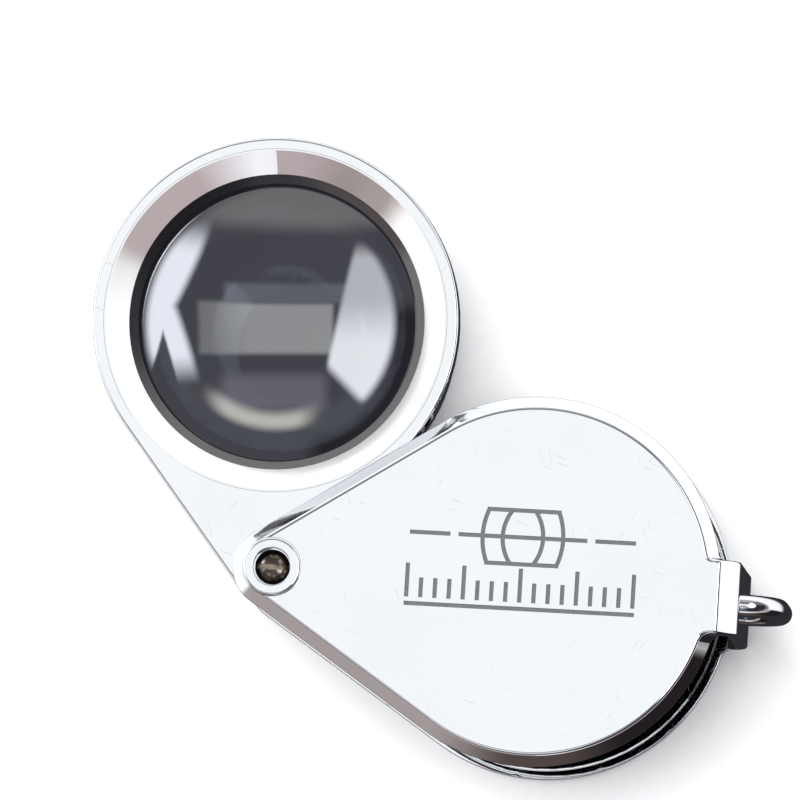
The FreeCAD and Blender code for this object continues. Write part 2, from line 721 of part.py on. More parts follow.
def make_lens(label, upper, lower):
    """A turned glass element; each face is (height on the axis, radius, bulge +1 up or -1 down)."""
    body = new_body(label)
    sketch = new_sketch(body, "XZ_Plane")
    rim = value_of("glass_radius")

    def edge_height(face):
        height, radius, bulge = face
        curve = value_of(radius)
        return value_of(height) - bulge * (curve - math.sqrt(curve ** 2 - rim ** 2))

    def add_face(face):
        height, radius, bulge = face
        curve, top = value_of(radius), value_of(height)
        centre = point(0, top - bulge * curve)
        spread = math.asin(rim / curve)
        start = math.pi / 2 - spread if bulge > 0 else -math.pi / 2
        circle = Part.Circle(centre, FreeCAD.Vector(0, 0, 1), curve)
        arc = sketch.addGeometry(Part.ArcOfCircle(circle, start, start + spread), False)
        rim_end, axis_end = (1, 2) if bulge > 0 else (2, 1)
        constrain(sketch, "Radius", arc, size=radius)
        constrain(sketch, "PointOnObject", arc, 3, -2)
        constrain(sketch, "PointOnObject", arc, axis_end, -2)
        constrain(sketch, "DistanceY", -1, 1, arc, axis_end, size=height)
        constrain(sketch, "DistanceX", -1, 1, arc, rim_end, size="glass_radius")
        return arc, rim_end, axis_end

    top_arc, top_rim, top_axis = add_face(upper)
    low_arc, low_rim, low_axis = add_face(lower)
    wall = sketch.addGeometry(
        Part.LineSegment(point(rim, edge_height(upper)), point(rim, edge_height(lower))), False)
    axis = sketch.addGeometry(
        Part.LineSegment(point(0, value_of(lower[0])), point(0, value_of(upper[0]))), False)
    constrain(sketch, "Coincident", top_arc, top_rim, wall, 1)
    constrain(sketch, "Coincident", wall, 2, low_arc, low_rim)
    constrain(sketch, "Coincident", low_arc, low_axis, axis, 1)
    constrain(sketch, "Coincident", axis, 2, top_arc, top_axis)
    turn_about_z(body, sketch)
    place_on_lens_unit(body)
    return body


def make_triplet():
    """Strong middle element with a hollow-backed element cemented on each side."""
    outer = f"{FRAME_FACE} - vertex_depth"
    inner = "centre_edge / 2 + inner_curve - sqrt(inner_curve ^ 2 - glass_radius ^ 2)"
    return [
        make_lens("front_lens", (outer, "outer_curve", 1), (f"{inner} + cement", "inner_curve", 1)),
        make_lens("centre_lens", (inner, "inner_curve", 1), (f"- ( {inner} )", "inner_curve", -1)),
        make_lens("rear_lens", (f"- ( {inner} ) - cement", "inner_curve", -1),
                  (f"- ( {outer} )", "outer_curve", -1)),
    ]


# ---------------------------------------------------------------- build, check and write

pieces = [
    make_cover_shell(),
    make_bail(),
    make_pivot_post(),
    make_pivot_cup(),
    make_pivot_screw(),
    make_spring_washer(),
    make_thrust_washer(),
    make_lens_frame(),
    make_pivot_bush(),
    make_front_bezel(),
    make_rear_bezel(),
    make_lens_cell(),
    make_retaining_ring(),
]
pieces += make_triplet()
doc.recompute()

for item in doc.Objects:
    if "Invalid" in item.State or "Error" in item.State:
        raise RuntimeError(f"{item.Name} failed: {item.State}")
for piece in pieces:
    if piece.Shape.isNull() or not piece.Shape.isValid():
        raise RuntimeError(f"{piece.Label} has no valid shape")
    if len(piece.Shape.Solids) != 1:
        raise RuntimeError(f"{piece.Label} is {len(piece.Shape.Solids)} solids")

os.makedirs(STEP_FOLDER, exist_ok=True)
for piece in pieces:
    piece.Shape.exportStep(os.path.join(STEP_FOLDER, f"{piece.Label}.step"))
    print(f"{piece.Label}: {piece.Shape.Volume:.1f} mm3")
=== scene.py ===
import json
import math

import bmesh
import bpy
from mathutils import Matrix, Vector
from mathutils.geometry import delaunay_2d_cdt


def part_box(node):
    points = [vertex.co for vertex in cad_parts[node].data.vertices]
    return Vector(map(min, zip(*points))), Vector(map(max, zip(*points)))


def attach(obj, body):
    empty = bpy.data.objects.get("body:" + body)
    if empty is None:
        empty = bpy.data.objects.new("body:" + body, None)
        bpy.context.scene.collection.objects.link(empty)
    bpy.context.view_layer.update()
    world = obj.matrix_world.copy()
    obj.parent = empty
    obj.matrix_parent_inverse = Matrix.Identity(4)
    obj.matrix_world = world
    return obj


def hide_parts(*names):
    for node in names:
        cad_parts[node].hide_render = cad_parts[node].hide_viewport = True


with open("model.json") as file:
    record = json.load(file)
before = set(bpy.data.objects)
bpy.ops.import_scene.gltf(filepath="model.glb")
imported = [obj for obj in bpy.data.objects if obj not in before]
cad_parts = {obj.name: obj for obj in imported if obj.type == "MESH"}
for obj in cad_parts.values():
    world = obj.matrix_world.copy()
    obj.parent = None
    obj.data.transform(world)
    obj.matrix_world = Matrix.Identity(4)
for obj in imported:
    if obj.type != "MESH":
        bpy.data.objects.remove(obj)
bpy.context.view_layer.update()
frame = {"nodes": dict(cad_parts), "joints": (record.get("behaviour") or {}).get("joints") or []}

MM = 0.001
NODES = frame["nodes"]
PIVOT = Vector(frame["joints"][0]["pos_m"])
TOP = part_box("cover_shell")[1].z


# ---------------------------------------------------------------- node helpers

class Nodes:
    """A short way to write a node tree."""

    def __init__(self, tree):
        self.tree = tree
        tree.nodes.clear()

    def add(self, kind, **settings):
        node = self.tree.nodes.new(kind)
        for name, value in settings.items():
            setattr(node, name, value)
        return node

    def link(self, source, target):
        self.tree.links.new(source, target)

    def put(self, node, values):
        """Set the node's inputs: a socket is linked, anything else is the input's value."""
        for name, value in values.items():
            if isinstance(value, bpy.types.NodeSocket):
                self.link(value, node.inputs[name])
            else:
                node.inputs[name].default_value = value
        return node

    def math(self, operation, first, second=0.0, clamp=False):
        node = self.add("ShaderNodeMath", operation=operation, use_clamp=clamp)
        self.put(node, {0: first, 1: second})
        return node.outputs[0]

    def mix(self, factor, first, second):
        node = self.add("ShaderNodeMix", data_type="RGBA", blend_type="MIX")
        self.put(node, {0: factor, 6: first, 7: second})
        return node.outputs[2]

    def ramp(self, value, low, high, out_low=0.0, out_high=1.0, smooth=True):
        kind = "SMOOTHSTEP" if smooth else "LINEAR"
        node = self.add("ShaderNodeMapRange", interpolation_type=kind)
        self.put(node, {0: value, 1: low, 2: high, 3: out_low, 4: out_high})
        return node.outputs[0]

    def dot(self, vector, direction):
        node = self.add("ShaderNodeVectorMath", operation="DOT_PRODUCT")
        self.put(node, {0: vector, 1: tuple(direction)})
        return node.outputs["Value"]

    def noise(self, vector, scale, detail=2.0):
        node = self.add("ShaderNodeTexNoise")
        self.put(node, {"Vector": vector, "Scale": scale, "Detail": detail, "Roughness": 0.5})
        return node.outputs["Fac"]

    def mapped(self, vector, scale=(1, 1, 1), turn=(0, 0, 0)):
        node = self.add("ShaderNodeMapping")
        self.put(node, {"Vector": vector, "Scale": scale, "Rotation": turn})
        return node.outputs["Vector"]


def new_material(name):
    """A material with its node helper, its shader and the place on the object."""
    material = bpy.data.materials.new(name)
    material.use_nodes = True
    nodes = Nodes(material.node_tree)
    shader = nodes.add("ShaderNodeBsdfPrincipled")
    output = nodes.add("ShaderNodeOutputMaterial")
    nodes.link(shader.outputs[0], output.inputs[0])
    place = nodes.add("ShaderNodeTexCoord").outputs["Object"]
    return material, nodes, shader, place


SCRATCH_SCALE = 9000                                        # across a scratch, per metre
SCRATCH_SETS = ((0.3, 0.035), (1.25, 0.03), (2.2, 0.04))    # direction, and scale along it over that across
PATCH_SCALE = 180
FINE_SCALE = 2600
SCRATCHED = (0.55, 0.57, 0.6, 1)
POLISH_WAVE = 1e-6                                          # height of the unevenness, in metres


def scratches(nodes, place, amount):
    """Fine straight handling marks on the faces that lie up or down, from 0 to amount."""
    total = None
    for turn, stretch in SCRATCH_SETS:
        turned = nodes.mapped(place, turn=(0, 0, turn))
        drawn = nodes.mapped(turned, scale=(SCRATCH_SCALE * stretch, SCRATCH_SCALE, 0))
        line = nodes.ramp(nodes.noise(drawn, 1.0, 1.0), 0.72, 0.80)
        total = line if total is None else nodes.math("MAXIMUM", total, line)
    facing = nodes.add("ShaderNodeTexCoord").outputs["Normal"]
    lies = nodes.ramp(nodes.math("ABSOLUTE", nodes.dot(facing, (0, 0, 1))), 0.9, 0.99)
    return nodes.math("MULTIPLY", nodes.math("MULTIPLY", total, lies), amount)


def from_axis(nodes, place, axis):
    """Distance from an upright axis, and height over the axis's own point."""
    offset = nodes.add("ShaderNodeVectorMath", operation="SUBTRACT")
    nodes.put(offset, {0: place, 1: tuple(axis)})
    flat = nodes.add("ShaderNodeVectorMath", operation="MULTIPLY")
    nodes.put(flat, {0: offset.outputs[0], 1: (1, 1, 0)})
    length = nodes.add("ShaderNodeVectorMath", operation="LENGTH")
    nodes.put(length, {0: flat.outputs[0]})
    return length.outputs["Value"], nodes.dot(offset.outputs[0], (0, 0, 1))


def bump(nodes, shader, height, distance):
    """Unevenness of a surface, from a height between 0 and 1 and its size in metres."""
    node = nodes.add("ShaderNodeBump")
    nodes.put(node, {"Strength": 1.0, "Distance": distance, "Height": height})
    nodes.link(node.outputs[0], shader.inputs["Normal"])


def polished_metal(name, colour, dark, roughness, wear):
    """Plated metal with faint unevenness, rubbed patches and scratches."""
    material, nodes, shader, place = new_material(name)
    patches = nodes.noise(place, PATCH_SCALE, 3.0)
    marks = scratches(nodes, place, wear)
    fine = nodes.noise(place, FINE_SCALE)
    tint = nodes.ramp(patches, 0.35, 0.7)
    clean = nodes.mix(tint, (*colour, 1), (*dark, 1))
    worn = nodes.mix(nodes.math("MULTIPLY", marks, 0.35), clean, SCRATCHED)
    rough = nodes.math("ADD", nodes.ramp(patches, 0.3, 0.75, roughness * 0.7, roughness * 1.5),
                       nodes.math("MULTIPLY", marks, 0.3))
    nodes.put(shader, {"Base Color": worn, "Metallic": 1.0, "Roughness": rough})
    bump(nodes, shader, nodes.math("SUBTRACT", nodes.math("MULTIPLY", fine, 0.3), marks), POLISH_WAVE)
    return material


def anodised_black(name):
    """Black oxide with a fine grain and a soft gloss."""
    material, nodes, shader, place = new_material(name)
    grain = nodes.noise(place, 9000)
    nodes.put(shader, {
        "Base Color": nodes.mix(grain, (0.004, 0.004, 0.005, 1), (0.012, 0.011, 0.013, 1)),
        "Roughness": nodes.ramp(grain, 0.3, 0.7, 0.14, 0.24),
        "Coat Weight": 1.0,
        "Coat IOR": 1.9,
        "Coat Roughness": 0.08,
    })
    bump(nodes, shader, grain, POLISH_WAVE)
    return material


# Lens: optical axis at mid height, and the glass in it.
LENS_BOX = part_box("front_bezel")
LENS_AXIS = Vector(((LENS_BOX[0].x + LENS_BOX[1].x) / 2, (LENS_BOX[0].y + LENS_BOX[1].y) / 2, 7.2 * MM))
GLASS_RADIUS = 10.5 * MM
GLASS_EDGE = 0.03 * MM                    # depth that still counts as the ground edge
GLASS_MIDDLE = (5.06 * MM, 2.02 * MM)     # height between the two curves, on the axis and at the edge
GLASS_INDEX = 1.6
COATING_INDEX = 2.8


def glass(name, tint, outer=None, shine=1.0):
    """Lens glass: the outer curve refracts, the cemented curves pass light, the ground edge is black.

    outer is the side of the outer curve, +1 up or -1 down, or None for the middle element.
    shine is how much of the light the outer curve mirrors, up to 1.
    """
    material, nodes, shader, place = new_material(name)
    dust = nodes.ramp(nodes.noise(place, 5200), 0.74, 0.82)
    smear = nodes.noise(place, 420, 3.0)
    nodes.put(shader, {
        "Base Color": nodes.mix(dust, (*tint, 1), tuple(c * 0.9 for c in tint) + (1,)),
        "Transmission Weight": 1.0,
        "IOR": GLASS_INDEX,
        "Specular IOR Level": shine,
        "Coat Weight": shine,
        "Coat IOR": COATING_INDEX,
        "Coat Tint": (0.93, 0.95, 1.0, 1),
        "Roughness": nodes.ramp(smear, 0.35, 0.8, 0.0, 0.035),
    })
    output = next(node for node in nodes.tree.nodes if node.type == "OUTPUT_MATERIAL")
    clear = nodes.add("ShaderNodeBsdfTransparent")
    blacked = nodes.add("ShaderNodeBsdfPrincipled")
    nodes.put(blacked, {"Base Color": (0.006, 0.006, 0.007, 1), "Roughness": 0.45})

    radius, height = from_axis(nodes, place, LENS_AXIS)
    if outer:
        # half way between the outer curve and the cemented curve
        way_out = nodes.math("POWER", nodes.math("DIVIDE", radius, GLASS_RADIUS), 2.0)
        drop = nodes.math("MULTIPLY", way_out, GLASS_MIDDLE[0] - GLASS_MIDDLE[1])
        middle = nodes.math("SUBTRACT", GLASS_MIDDLE[0], drop)
        is_outer = nodes.math("GREATER_THAN", nodes.math("MULTIPLY", height, float(outer)), middle)
    else:
        is_outer = nodes.math("GREATER_THAN", radius, 1.0)
    faces = nodes.add("ShaderNodeMixShader")
    nodes.put(faces, {0: is_outer, 1: clear.outputs[0], 2: shader.outputs[0]})
    edge = nodes.add("ShaderNodeMixShader")
    is_edge = nodes.math("GREATER_THAN", radius, GLASS_RADIUS - GLASS_EDGE)
    nodes.put(edge, {0: is_edge, 1: faces.outputs[0], 2: blacked.outputs[0]})
    nodes.link(edge.outputs[0], output.inputs[0])
    return material


HEAD_PAINTED_SHADE = (0.82 * MM, 1.2 * MM)         # from the axis, where the painted shade of the cup's recess begins and where it is full


def screw_steel():
    """Dark steel, darkened to near black towards the head's rim by painted shade, where the cup's recess
    shadows it.
    """
    material, nodes, shader, place = new_material("dark_steel")
    radius = from_axis(nodes, place, PIVOT)[0]
    mottle = nodes.noise(place, FINE_SCALE, 3.0)
    metal = nodes.mix(nodes.ramp(mottle, 0.4, 0.65), (0.30, 0.25, 0.20, 1), (0.12, 0.095, 0.075, 1))
    uneven = nodes.math("ADD", radius, nodes.math("MULTIPLY", mottle, 0.3 * MM))
    # painted shade: the head turns near black towards its rim, as if shadowed in the cup's recess
    painted_shade = nodes.ramp(uneven, *HEAD_PAINTED_SHADE)
    nodes.put(shader, {
        "Base Color": nodes.mix(painted_shade, metal, (0.012, 0.01, 0.009, 1)),
        "Metallic": 1.0,
        "Roughness": nodes.ramp(mottle, 0.3, 0.7, 0.12, 0.26),
    })
    bump(nodes, shader, mottle, 6e-6)
    return material


# ---------------------------------------------------------------- mesh helpers

class Surface:
    """A mesh put together from patches, in mm: equal corners are one, edges between patches are sharp."""

    def __init__(self):
        self.corners = []
        self.known = {}
        self.faces = []
        self.patches = []

    def corner(self, place):
        key = tuple(round(value, 4) for value in place)
        if key not in self.known:
            self.known[key] = len(self.corners)
            self.corners.append(place)
        return self.known[key]

    def face(self, places, patch):
        loop = []
        for place in places:
            corner = self.corner(place)
            if corner not in loop:
                loop.append(corner)
        if len(loop) > 2:
            self.faces.append(loop)
            self.patches.append(patch)

    def strip(self, first, second, patch, closed=False):
        for i in range(len(first) if closed else len(first) - 1):
            j = (i + 1) % len(first)
            self.face([first[i], first[j], second[j], second[i]], patch)

    def piece(self, name):
        """The object, with outward normals that follow the large faces of each patch."""
        mesh = bpy.data.meshes.new(name)
        mesh.from_pydata([Vector(place) * MM for place in self.corners], [], self.faces)
        work = bmesh.new()
        work.from_mesh(mesh)
        bmesh.ops.recalc_face_normals(work, faces=work.faces)
        work.to_mesh(mesh)
        work.free()
        sums = {}
        for face, patch in zip(mesh.polygons, self.patches):
            for corner in face.vertices:
                total = sums.get((corner, patch), Vector())
                sums[corner, patch] = total + face.normal * (face.area / MM ** 2)
        normals = [Vector((0, 0, 1))] * len(mesh.loops)
        for face, patch in zip(mesh.polygons, self.patches):
            face.use_smooth = True
            for loop in face.loop_indices:
                normals[loop] = sums[mesh.loops[loop].vertex_index, patch].normalized()
        mesh.normals_split_custom_set(normals)
        piece = bpy.data.objects.new(name, mesh)
        bpy.context.scene.collection.objects.link(piece)
        return piece


def fill(outline, holes=(), strokes=()):
    """Triangles of a flat region: those of the plain part, and those of the strokes, as (x, y) corners."""
    loops = [outline, *holes, *strokes]
    places = [place for loop in loops for place in loop]
    faces, start = [], 0
    for loop in loops:
        faces.append(list(range(start, start + len(loop))))
        start += len(loop)
    cut = delaunay_2d_cdt([Vector(place) for place in places], [], faces, 1, 1e-5)
    corners, triangles, origins, owners = cut[0], cut[2], cut[3], cut[5]
    exact = [places[origin[0]] if origin else tuple(corner) for corner, origin in zip(corners, origins)]
    plain, marked = [], []
    for triangle, owner in zip(triangles, owners):
        if 0 not in owner or any(1 <= face <= len(holes) for face in owner):
            continue
        inked = any(face > len(holes) for face in owner)
        (marked if inked else plain).append([exact[corner] for corner in triangle])
    return plain, marked


def open_edges(triangles):
    """Edges that only one of the triangles has."""
    count = {}
    for triangle in triangles:
        for i in range(3):
            edge = frozenset((triangle[i], triangle[(i + 1) % 3]))
            count[edge] = count.get(edge, 0) + 1
    return sorted(tuple(sorted(edge)) for edge, times in count.items() if times == 1)


# ---------------------------------------------------------------- cover: a folded sheet with turned lips

HEIGHT = 14.4                # over both plates, in mm like all sizes of the cover
ROUND_RADIUS = 13.1
TIP_RADIUS = 2.85
REACH = 18.6                 # round end to pivot
SHEET = 0.75
LIP_DEPTH = 1.05
LIP_BEVEL = 0.85
LIP_WALL = 0.68
STRAP_HALF = 2.65
STRAP_SHIFT = 0.42           # the strap sits off the middle, towards -Y
STRAP_START = 13.0
FACET = 1.45
PIVOT_HOLE = 1.7
TOP_ROUND = 0.42             # flat face into the lip
EDGE_ROUND = 0.16            # lip bevel into the lip's upright edge
FOOT_ROUND = 0.08            # lip's lower edge
STRAP_ROUND = 0.25           # long edges of the strap
FIRST_CREASE = 0.35          # flat face into the facet
SECOND_CREASE = 0.95         # facet into the upright part
NECK_BLENDS = {1: 0.5, -1: 0.9}      # where the lip runs into the strap's sides
INNER_BREAK = 0.06           # broken edge at the foot of the lip's inner wall
INNER_ROUND = 0.14           # rounded corner between that wall and the plate
INNER_MIDDLE = 0.04          # the corner's own middle
HALF_FOLD = math.tan(math.radians(22.5))
FOLD = math.radians(45)      # of the lip and of the strap's facet
ROUND_STEPS = 56             # faces along half the round end
INNER_STEPS = 120            # faces along the round end inside the lip
TIP_STEPS = 14               # faces along half the pivot end
NECK_STEPS = 6
EDGE_STEPS = 3
LIP_STEPS = (8, 4)           # faces in the rounding at the top and at the edge of the lip
CREASE_STEPS = 8
HOLE_STEPS = 48
STROKE_STEPS = 14
MARK_DEPTH = 0.12
STROKE = 0.3
MARK_MIDDLE = -1.0           # along X, in from the round end's centre
MARK_LENGTH = 16.0
SCALE_BASE = -2.2            # Y of the row of ticks
TICKS = 17
TICK_HEIGHTS = (1.4, 2.4)    # plain, and every fourth
SYMBOL_AXIS = 3.0            # Y of the lens symbol
SYMBOL_HALF = 1.9
SYMBOL_CURVES = ((2.85, 4.94), (1.43, 3.23))     # where a curve crosses the axis, and its radius
AXIS_DASHES = ((-8.0, -5.13), (-4.56, 4.56), (5.13, 8.0))
FILL_LEVELS = (0.45, 0.98)   # top and bottom of the dark filling, as shares of the depth


def sweep(centre, radius, start, end, steps):
    """Places along an arc."""
    return [(centre[0] + radius * math.cos(a), centre[1] + radius * math.sin(a))
            for a in (start + (end - start) * step / steps for step in range(steps + 1))]


def strap_face(depth):
    """How far out the strap's outer face is at a depth below the plate's face."""
    if depth < FIRST_CREASE * (1 - math.cos(FOLD)):
        angle = math.acos(1 - depth / FIRST_CREASE)
        return STRAP_START - FIRST_CREASE * HALF_FOLD + FIRST_CREASE * math.sin(angle)
    below = SECOND_CREASE * HALF_FOLD
    if depth < FACET - below * math.cos(FOLD):
        return STRAP_START + depth
    if depth < FACET + below:
        rise = FACET + below - depth
        return STRAP_START + FACET - SECOND_CREASE + math.sqrt(SECOND_CREASE ** 2 - rise ** 2)
    return STRAP_START + FACET


def strap_back(depth):
    """The same for the strap's inner face."""
    return min(STRAP_START - SHEET * HALF_FOLD + depth - SHEET, STRAP_START + FACET - SHEET)


def strap_side(side, depth):
    """Y of the strap's side, rounded into the plate's face at the top."""
    rise = max(STRAP_ROUND - depth, 0)
    inset = STRAP_ROUND - math.sqrt(STRAP_ROUND ** 2 - rise ** 2)
    return side * (STRAP_HALF - inset) - STRAP_SHIFT


def strap_edge(side, depth):
    """The rounded upright edge of the strap, from its outer face to its side."""
    x, y = strap_face(depth), strap_side(side, depth)
    arc = sweep((0, 0), STRAP_ROUND, 0, math.pi / 2, EDGE_STEPS)
    return [(x - STRAP_ROUND + a, y - side * (STRAP_ROUND - b)) for a, b in arc]


def half_ring(side, inset, depth):
    """From the strap's outer face to the middle of the pivot end, on one side of the plate."""
    radius, tip, blend = ROUND_RADIUS - inset, TIP_RADIUS - inset, NECK_BLENDS[side]
    away = abs(strap_side(side, depth)) + blend
    across = math.sqrt((radius + blend) ** 2 - away ** 2)
    touch = math.atan2(away, across)
    turn = math.pi - math.acos((ROUND_RADIUS - TIP_RADIUS) / REACH)
    path = sweep((across, away), blend, -math.pi / 2, touch - math.pi, NECK_STEPS)
    path += sweep((0, 0), radius, touch, turn, ROUND_STEPS)[1:]
    path += sweep((-REACH, 0), tip, turn, math.pi, TIP_STEPS)
    return strap_edge(side, depth) + [(x, side * y) for x, y in path]


def plate_ring(inset, depth):
    """The plate's outline with the strap's sides, drawn in by the inset."""
    return half_ring(1, inset, depth) + half_ring(-1, inset, depth)[-2::-1]


def closed_ring(inset):
    """The same outline without the strap."""
    radius, tip = ROUND_RADIUS - inset, TIP_RADIUS - inset
    turn = math.pi - math.acos((ROUND_RADIUS - TIP_RADIUS) / REACH)
    path = sweep((0, 0), radius, -turn, turn, INNER_STEPS)
    return path + sweep((-REACH, 0), tip, turn, 2 * math.pi - turn, 2 * TIP_STEPS)


def strap_station(depth, middle=None):
    """Round the strap at a depth: back corner, side, rounded edge, and the same on the other side."""
    back, face = strap_back(depth), strap_face(depth)
    rows = []
    for side in (1, -1):
        y = strap_side(side, depth)
        between = middle[side] if middle else (back + face) / 2
        rows.append([(back, y), (between, y)] + strap_edge(side, depth)[::-1])
    return rows[0] + rows[1][::-1]


def arc_steps(radius, steps):
    """Sine and versed sine of a 45 degree rounding."""
    for step in range(steps + 1):
        angle = FOLD * step / steps
        yield radius * math.sin(angle), radius * (1 - math.cos(angle))


def lip_profile():
    """(inset, depth) from the flat face over the lip to its lower edge."""
    lead = TOP_ROUND * HALF_FOLD
    rows = [(LIP_BEVEL + lead - sine, versed) for sine, versed in arc_steps(TOP_ROUND, LIP_STEPS[0])]
    end = LIP_BEVEL + EDGE_ROUND * HALF_FOLD
    rows += [(versed, end - sine) for sine, versed in reversed(list(arc_steps(EDGE_ROUND, LIP_STEPS[1])))]
    for angle in (0, 30, 60, 90):
        turn = math.radians(angle)
        rows.append((FOOT_ROUND * (1 - math.cos(turn)), LIP_DEPTH - FOOT_ROUND * (1 - math.sin(turn))))
    return rows


def arc_stroke(centre, radius, spread, side):
    """A curved stroke of the engraved lens symbol."""
    middle = 0 if side > 0 else math.pi
    outer = sweep(centre, radius + STROKE / 2, middle - spread, middle + spread, STROKE_STEPS)
    return outer + sweep(centre, radius - STROKE / 2, middle + spread, middle - spread, STROKE_STEPS)


def box_stroke(left, right, low, high):
    """A straight stroke."""
    return [(left, low), (right, low), (right, high), (left, high)]


def engraved_strokes():
    """A generic mark: a row of ticks over a base line, and a lens in section on its axis."""
    left = MARK_MIDDLE - MARK_LENGTH / 2
    right = left + MARK_LENGTH
    strokes = [box_stroke(left - STROKE / 2, right + STROKE / 2, SCALE_BASE, SCALE_BASE + STROKE)]
    for tick in range(TICKS):
        x = left + MARK_LENGTH * tick / (TICKS - 1)
        high = TICK_HEIGHTS[0] if tick % 4 else TICK_HEIGHTS[1]
        low = SCALE_BASE + 2 * STROKE
        strokes.append(box_stroke(x - STROKE / 2, x + STROKE / 2, low, low + high))
    for reach, radius in SYMBOL_CURVES:
        for side in (-1, 1):
            centre = (MARK_MIDDLE + side * (reach - radius), SYMBOL_AXIS)
            strokes.append(arc_stroke(centre, radius, math.asin(SYMBOL_HALF / radius), side))
    reach, radius = SYMBOL_CURVES[0]
    edge = reach - (radius - math.sqrt(radius ** 2 - SYMBOL_HALF ** 2)) + STROKE / 2
    rows = [(-edge, edge, SYMBOL_HALF), (-edge, edge, -SYMBOL_HALF)]
    for low, high, offset in rows + [(start, end, 0) for start, end in AXIS_DASHES]:
        row = SYMBOL_AXIS + offset
        strokes.append(box_stroke(MARK_MIDDLE + low, MARK_MIDDLE + high,
                                  row - STROKE / 2, row + STROKE / 2))
    return strokes


def add_plate(cover, upper, strokes):
    """One plate with its lip and its half of the strap; returns the triangles under the strokes."""
    def at(places, depth):
        return [(x, y, HEIGHT - depth if upper else depth) for x, y in places]

    rings = [(plate_ring(inset, depth), depth) for inset, depth in lip_profile()]
    for (first, start), (second, end) in zip(rings, rings[1:]):
        cover.strip(at(first, start), at(second, end), "skin", closed=True)

    hole = sweep((-REACH, 0), PIVOT_HOLE, 0, 2 * math.pi, HOLE_STEPS)[:-1]
    plain, marked = fill(rings[0][0], [hole], strokes)
    for triangle in plain:
        cover.face(at(triangle, 0), "skin")
    for triangle in marked:
        cover.face(at(triangle, MARK_DEPTH), "mark floor")
    for edge in open_edges(marked):
        cover.strip(at(edge, 0), at(edge, MARK_DEPTH), "mark wall")
    cover.strip(at(hole, 0), at(hole, SHEET), "hole", closed=True)

    last = rings[-1][0]
    ends = len(strap_edge(1, LIP_DEPTH))
    lip_foot = last[ends:-ends]
    back = strap_back(LIP_DEPTH)
    foot = lip_foot + [(back, strap_side(-1, LIP_DEPTH)), (back, strap_side(1, LIP_DEPTH))]
    # inside the lip: a broken lower edge, the wall, and a rounded corner under the plate
    inner = [(LIP_WALL - INNER_BREAK, LIP_DEPTH), (LIP_WALL, LIP_DEPTH - INNER_BREAK),
             (LIP_WALL, SHEET + INNER_ROUND), (LIP_WALL + INNER_MIDDLE, SHEET + INNER_MIDDLE),
             (LIP_WALL + INNER_ROUND, SHEET)]
    for triangle in fill(foot, [closed_ring(inner[0][0])])[0]:
        cover.face(at(triangle, LIP_DEPTH), "skin")
    for (inset, start), (further, end) in zip(inner, inner[1:]):
        cover.strip(at(closed_ring(inset), start), at(closed_ring(further), end), "inside", closed=True)
    for triangle in fill(closed_ring(inner[-1][0]), [hole])[0]:
        cover.face(at(triangle, SHEET), "inside")

    below = SECOND_CREASE * HALF_FOLD
    start = FACET - below * math.cos(FOLD)
    depths = [start + (FACET + below - start) * step / CREASE_STEPS for step in range(CREASE_STEPS + 1)]
    neck = {1: lip_foot[0][0], -1: lip_foot[-1][0]}
    stations = [(strap_station(LIP_DEPTH, neck), LIP_DEPTH)]
    stations += [(strap_station(depth), depth) for depth in depths + [HEIGHT / 2]]
    for (first, start), (second, end) in zip(stations, stations[1:]):
        cover.strip(at(first, start), at(second, end), "skin")
        cover.strip(at([first[-1], first[0]], start), at([second[-1], second[0]], end), "strap back")
    return marked


def make_cover():
    """The folded sheet, and the dark filling of its engraved mark."""
    cover = Surface()
    marked = add_plate(cover, True, engraved_strokes())
    add_plate(cover, False, [])
    piece = cover.piece("folded_cover")
    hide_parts("cover_shell")
    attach(piece, "cover")

    ink = Surface()
    top, bottom = (HEIGHT - MARK_DEPTH * level for level in FILL_LEVELS)
    for triangle in marked:
        ink.face([(x, y, top) for x, y in triangle], "top")
        ink.face([(x, y, bottom) for x, y in triangle], "bottom")
    for edge in open_edges(marked):
        ink.strip([(x, y, top) for x, y in edge], [(x, y, bottom) for x, y in edge], "side")
    filling = ink.piece("mark_filling")
    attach(filling, "cover")
    return piece, filling


# ---------------------------------------------------------------- pivot: cup and screw head

CUP_OUTSIDE = 1.68
CUP_INSIDE = 1.3
CUP_BORE = 0.82
CUP_FLOOR = 0.3
FLANGE_RADIUS = 2.1
FLANGE_HEIGHT = 0.3
FLANGE_ROUND = 0.24
MOUTH_ROUND = 0.1
HEAD_RADIUS = 1.24
HEAD_TOP = 14.37             # crown of the screw head
HEAD_RIM = 14.0              # its edge
HEAD_FOOT = 13.95
SLOT_HALF = 0.2
SLOT_FLOOR = HEAD_RIM
CROWN_ROWS = 12              # rows of faces over half the head, and faces in a row
CROWN_COLUMNS = 20
SHANK_RADIUS = 0.78
SHANK_END = 9.45
LATHE_STEPS = 72
QUARTER_STEPS = 6
SHANK_STEPS = 32


def lathe(surface, profile):
    """Turn a closed (radius, height, patch) profile round the pivot."""
    turns = [sweep((-REACH, 0), radius, 0, 2 * math.pi, LATHE_STEPS)[:-1] for radius, _, _ in profile]
    for i, (radius, height, patch) in enumerate(profile):
        j = (i + 1) % len(profile)
        surface.strip([(x, y, height) for x, y in turns[i]],
                      [(x, y, profile[j][1]) for x, y in turns[j]], patch, closed=True)


def quarter(centre, radius, start, patch):
    """A quarter round of a profile, from the angle start onwards."""
    return [(r, z, patch) for r, z in sweep(centre, radius, start, start + math.pi / 2, QUARTER_STEPS)]


